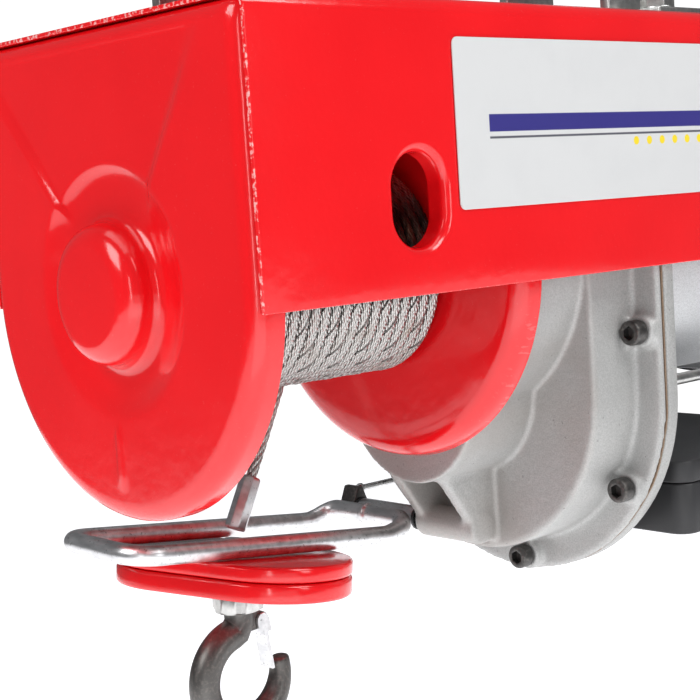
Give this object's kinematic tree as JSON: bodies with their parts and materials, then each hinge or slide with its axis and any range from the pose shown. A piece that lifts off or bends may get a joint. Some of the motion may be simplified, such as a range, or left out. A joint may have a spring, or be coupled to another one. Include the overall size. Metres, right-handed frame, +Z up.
{
  "type": "electric wire rope hoist",
  "caption": "Electric wire rope hoist: sheet frame with drum, cast gearbox and motor, limit lever, rope end with stop block and swivel hook, hung by two clamps.",
  "frame": {"origin": "on the raised seat along the frame's top, where the carrying bar lies, midway between the two hanging clamps", "axes": "+X along the drum axis from the end cover towards the motor, +Y away from the panel with the name plate, +Z up"},
  "size_m": [0.3925, 0.171, 0.3365],
  "materials": {
    "red_paint": "glossy red enamel",
    "cast_aluminium": "sand-cast, lightly blasted",
    "bright_steel": "turned steel",
    "zinc_plate": "bright zinc plate",
    "dark_steel": "black oxide",
    "rope_steel": "stranded wire",
    "black_plastic": "moulded",
    "pale_plate": "plain pale film",
    "gasket_fibre": "oil-soaked fibre"
  },
  "bodies": {
    "frame": {"frame_channel": "red_paint", "end_cover": "red_paint", "gear_housing": "cast_aluminium", "gear_cover": "cast_aluminium", "motor_housing": "cast_aluminium", "motor_bell_front": "cast_aluminium", "motor_bell_rear": "cast_aluminium", "box_neck": "cast_aluminium", "end_bearing": "bright_steel", "main_bearing": "bright_steel", "countershaft_bearing": "bright_steel", "rotor_bearing_front": "bright_steel", "rotor_bearing_rear": "bright_steel", "stator_core": "bright_steel", "tie_rod_1": "zinc_plate", "tie_rod_2": "zinc_plate", "hanging_clamp_1": "zinc_plate", "hanging_clamp_2": "zinc_plate", "clamp_bolt_1": "zinc_plate", "clamp_bolt_2": "zinc_plate", "clamp_bolt_3": "zinc_plate", "clamp_bolt_4": "zinc_plate", "cover_screw_1": "dark_steel", "cover_screw_2": "dark_steel", "cover_screw_3": "dark_steel", "cover_screw_4": "dark_steel", "cover_screw_5": "dark_steel", "brake_coil": "dark_steel", "limit_switch": "dark_steel", "rope_fall": "rope_steel", "fan_cover": "black_plastic", "electrical_box": "black_plastic", "electrical_box_lid": "black_plastic", "cable_gland_1": "black_plastic", "cable_gland_2": "black_plastic", "name_plate": "pale_plate", "housing_gasket": "gasket_fibre"},
    "drum": {"drum_tube": "bright_steel", "drum_flange_left": "red_paint", "drum_flange_right": "red_paint", "drum_shaft": "bright_steel", "drum_gear": "bright_steel", "rope_pile": "rope_steel"},
    "countershaft": {"countershaft": "bright_steel", "large_gear": "bright_steel"},
    "rotor": {"rotor": "bright_steel", "brake_disc": "dark_steel", "cooling_fan": "black_plastic"},
    "hook_block": {"rope_ferrule": "zinc_plate", "rope_collar": "zinc_plate", "stop_plate_upper": "red_paint", "stop_plate_lower": "red_paint"},
    "hook": {"hook": "dark_steel", "hook_nut": "bright_steel"},
    "hook_latch": {"hook_latch": "zinc_plate"},
    "lever": {"bail": "zinc_plate", "lever_bush": "zinc_plate", "lever_pin": "bright_steel", "trip_arm": "dark_steel"},
    "switch_rod": {"switch_rod": "bright_steel"}
  },
  "joints": [
    {"name": "rotor_spin", "type": "hinge", "parent": "frame", "child": "rotor", "pos_m": [0.105, 0, -0.0928], "axis": [-1, 0, 0], "range_deg": [0, 13698.2]},
    {"name": "countershaft_spin", "type": "hinge", "parent": "frame", "child": "countershaft", "pos_m": [0.025, 0, -0.1458], "axis": [-1, 0, 0], "range_deg": [-1915.8, 1]},
    {"name": "drum_spin", "type": "hinge", "parent": "frame", "child": "drum", "pos_m": [-0.095, 0, -0.0928], "axis": [-1, 0, 0], "range_deg": [-1, 446.3]},
    {"name": "hook_travel", "type": "slide", "parent": "frame", "child": "hook_block", "axis": [0, 0, -1], "range_m": [-0.0005, 0.3005], "deforming": ["rope_fall"]},
    {"name": "hook_swivel", "type": "hinge", "parent": "hook_block", "child": "hook", "pos_m": [-0.0845, 0.0405, -0.2128], "axis": [0, 0, 1], "continuous": true},
    {"name": "latch_pivot", "type": "hinge", "parent": "hook", "child": "hook_latch", "pos_m": [-0.0751, 0.0405, -0.23244], "axis": [0, 1, 0], "range_deg": [0, 30], "stiffness_Nm_per_rad": 0.02, "springref_deg": -28.65},
    {"name": "lever_pivot", "type": "hinge", "parent": "frame", "child": "lever", "pos_m": [0.004, 0.04, -0.204], "axis": [0, 1, 0], "range_deg": [0, 8]},
    {"name": "switch_rod_slide", "type": "slide", "parent": "frame", "child": "switch_rod", "axis": [1, 0, 0], "range_m": [0, 0.00116]}
  ],
  "couplings": [
    {"joint": "countershaft_spin", "follows": "rotor_spin", "ratio": -0.13978},
    {"joint": "drum_spin", "follows": "rotor_spin", "ratio": 0.032508},
    {"joint": "hook_travel", "follows": "rotor_spin", "m_per_rad": 0.0012548},
    {"joint": "switch_rod_slide", "follows": "lever_pivot", "m_per_rad": 0.0076}
  ]
}
